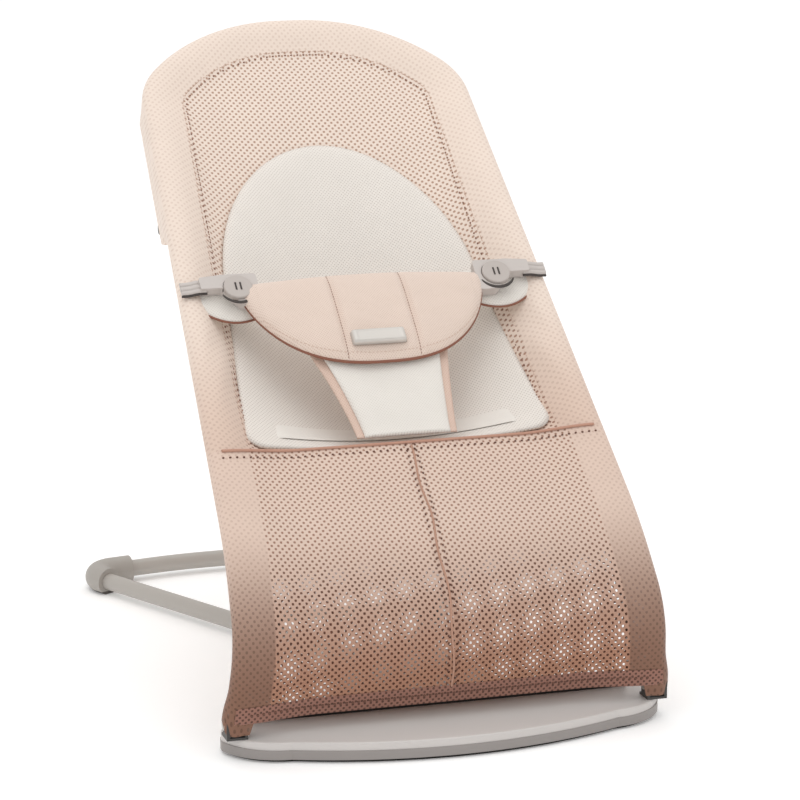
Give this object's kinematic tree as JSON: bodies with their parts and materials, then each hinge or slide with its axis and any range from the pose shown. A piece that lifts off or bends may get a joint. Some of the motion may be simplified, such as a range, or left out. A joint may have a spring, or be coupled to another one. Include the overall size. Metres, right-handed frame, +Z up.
{
  "type": "bouncer seat",
  "caption": "Folding bouncer seat: mesh cloth on a tube loop hinged behind a half-moon front plate, low tube base, prop bow under the back, padded belt with push-button buckles.",
  "frame": {"origin": "bottom centre of the whole seat's box, on the floor", "axes": "+X to the right of someone facing the back from the front, along every hinge; +Y to the rear, under the head end; +Z up"},
  "size_m": [0.4082, 0.611, 0.5493],
  "materials": {
    "sole_rubber": "matt dark rubber",
    "plate_rim": "fine-grained grey moulding",
    "plate_top": "satin light grey moulding",
    "dark_plastic": "fine-grained mid-grey moulding",
    "tube_paint": "satin light warm-grey paint",
    "steel": "zinc-plated",
    "mesh_pink": "pearly pink open mesh",
    "mesh_leg": "single layer of open mesh",
    "band_pink": "smooth double layer",
    "band_leg": "double layer of mesh",
    "mesh_white": "off-white padded mesh",
    "belt_pink": "padded pink mesh",
    "buckle_grey": "satin grey moulding",
    "label_metal": "blank satin plate"
  },
  "bodies": {
    "base": {"plate_sole": "sole_rubber", "hinge_rail": "dark_plastic", "plate_lower_shell": "plate_rim", "plate_top_shell": "plate_top", "tube_clamp_cover": "plate_rim", "plate_screws": "steel", "clamp_screws": "steel", "base_tube_left": "tube_paint", "base_tube_right": "tube_paint", "rear_cross_tube": "tube_paint", "rear_elbow_left": "dark_plastic", "rear_elbow_right": "dark_plastic", "elbow_foot_left": "sole_rubber", "elbow_foot_right": "sole_rubber", "hinge_bracket_left": "dark_plastic", "hinge_bracket_right": "dark_plastic", "hinge_pin_left": "steel", "hinge_pin_right": "steel", "bow_bracket_left": "dark_plastic", "bow_bracket_right": "dark_plastic"},
    "bow": {"bow_wire": "tube_paint", "bow_end_caps": "dark_plastic"},
    "seat": {"cover_back": "mesh_pink", "frame_spigots": "steel", "front_webbing": "band_pink", "hem_band": "band_leg", "hinge_knuckle_left": "dark_plastic", "hinge_knuckle_right": "dark_plastic", "insert_pad": "mesh_white", "leg_band_left": "band_leg", "leg_band_right": "band_leg", "leg_panel": "mesh_leg", "notch_rack_left": "dark_plastic", "notch_rack_right": "dark_plastic", "rack_rivets": "steel", "rim_band": "band_pink", "seam_tape": "band_leg", "seat_tube_left": "tube_paint", "seat_tube_right": "tube_paint", "seat_tube_top": "tube_paint", "side_tab_left": "belt_pink", "side_tab_right": "belt_pink", "stud_plate_left": "buckle_grey", "stud_plate_right": "buckle_grey"},
    "restraint": {"belt": "belt_pink", "label_plate": "label_metal", "crotch_panel": "mesh_white", "buckle_left": "buckle_grey", "buckle_right": "buckle_grey", "button_leaf_left": "steel", "button_leaf_right": "steel"},
    "button_left": {"push_button_left": "buckle_grey"},
    "button_right": {"push_button_right": "buckle_grey"}
  },
  "joints": [
    {"name": "seat_recline", "type": "hinge", "parent": "base", "child": "seat", "pos_m": [0, -0.2525, 0.03], "axis": [1, 0, 0], "range_deg": [-38.5, 0]},
    {"name": "bow_fold", "type": "hinge", "parent": "base", "child": "bow", "pos_m": [0, 0.0375, 0.028], "axis": [1, 0, 0], "range_deg": [-77, 0]},
    {"name": "belt_open", "type": "hinge", "parent": "seat", "child": "restraint", "pos_m": [0, -0.13718, 0.232], "axis": [1, 0, 0], "range_deg": [0, 100]},
    {"name": "button_left_press", "type": "slide", "parent": "restraint", "child": "button_left", "axis": [0, 0.6225, -0.7826], "range_m": [0, 0.0025], "stiffness_N_per_m": 800, "springref_m": -0.0005},
    {"name": "button_right_press", "type": "slide", "parent": "restraint", "child": "button_right", "axis": [0, 0.6225, -0.7826], "range_m": [0, 0.0025], "stiffness_N_per_m": 800, "springref_m": -0.0005}
  ],
  "couplings": [
    {"joint": "bow_fold", "follows": "seat_recline", "ratio": 2}
  ]
}
